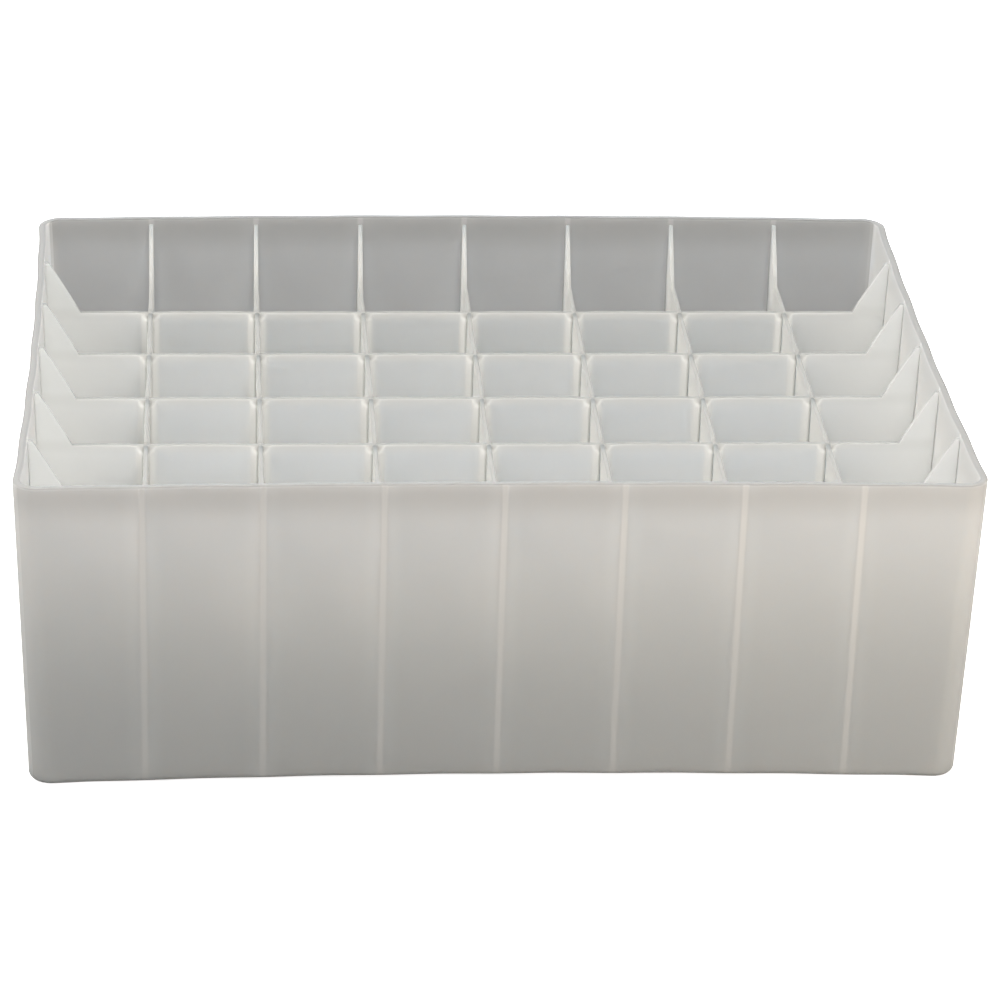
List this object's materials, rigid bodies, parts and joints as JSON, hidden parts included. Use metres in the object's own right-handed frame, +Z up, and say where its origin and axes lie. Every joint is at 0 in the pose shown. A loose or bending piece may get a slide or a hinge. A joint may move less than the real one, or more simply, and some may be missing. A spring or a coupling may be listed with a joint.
{
  "type": "drawer organizer insert",
  "caption": "Open rectangular drawer insert with leaning walls, divided into square upright cells by lift-out interlocking dividers in milky translucent plastic.",
  "frame": {"origin": "centre of the tray's underside, at the bottom of the floor", "axes": "+X along the long side, +Y towards the back, -Y the long front wall, +Z up out of the open top"},
  "size_m": [0.3046, 0.23, 0.1065],
  "materials": {
    "tray_plastic": "natural milky translucent polypropylene, satin, fine moulded surface",
    "divider_plastic": "the same natural polypropylene in thin sheet, satin"
  },
  "bodies": {
    "tray": {"tray_shell": "tray_plastic"},
    "column_grid": {"column_divider_1": "divider_plastic", "column_divider_2": "divider_plastic", "column_divider_3": "divider_plastic", "column_divider_4": "divider_plastic", "column_divider_5": "divider_plastic", "column_divider_6": "divider_plastic", "column_divider_7": "divider_plastic"},
    "cross_1": {"cross_divider_1": "divider_plastic"},
    "cross_2": {"cross_divider_2": "divider_plastic"},
    "cross_3": {"cross_divider_3": "divider_plastic"},
    "cross_4": {"cross_divider_4": "divider_plastic"},
    "cross_5": {"cross_divider_5": "divider_plastic"}
  },
  "joints": [
    {"name": "grid_lift", "type": "slide", "parent": "tray", "child": "column_grid", "axis": [0, 0, 1], "range_m": [0, 0.11]},
    {"name": "cross_1_lift", "type": "slide", "parent": "column_grid", "child": "cross_1", "axis": [0, 0, 1], "range_m": [0, 0.11]},
    {"name": "cross_2_lift", "type": "slide", "parent": "column_grid", "child": "cross_2", "axis": [0, 0, 1], "range_m": [0, 0.11]},
    {"name": "cross_3_lift", "type": "slide", "parent": "column_grid", "child": "cross_3", "axis": [0, 0, 1], "range_m": [0, 0.11]},
    {"name": "cross_4_lift", "type": "slide", "parent": "column_grid", "child": "cross_4", "axis": [0, 0, 1], "range_m": [0, 0.11]},
    {"name": "cross_5_lift", "type": "slide", "parent": "column_grid", "child": "cross_5", "axis": [0, 0, 1], "range_m": [0, 0.11]}
  ]
}
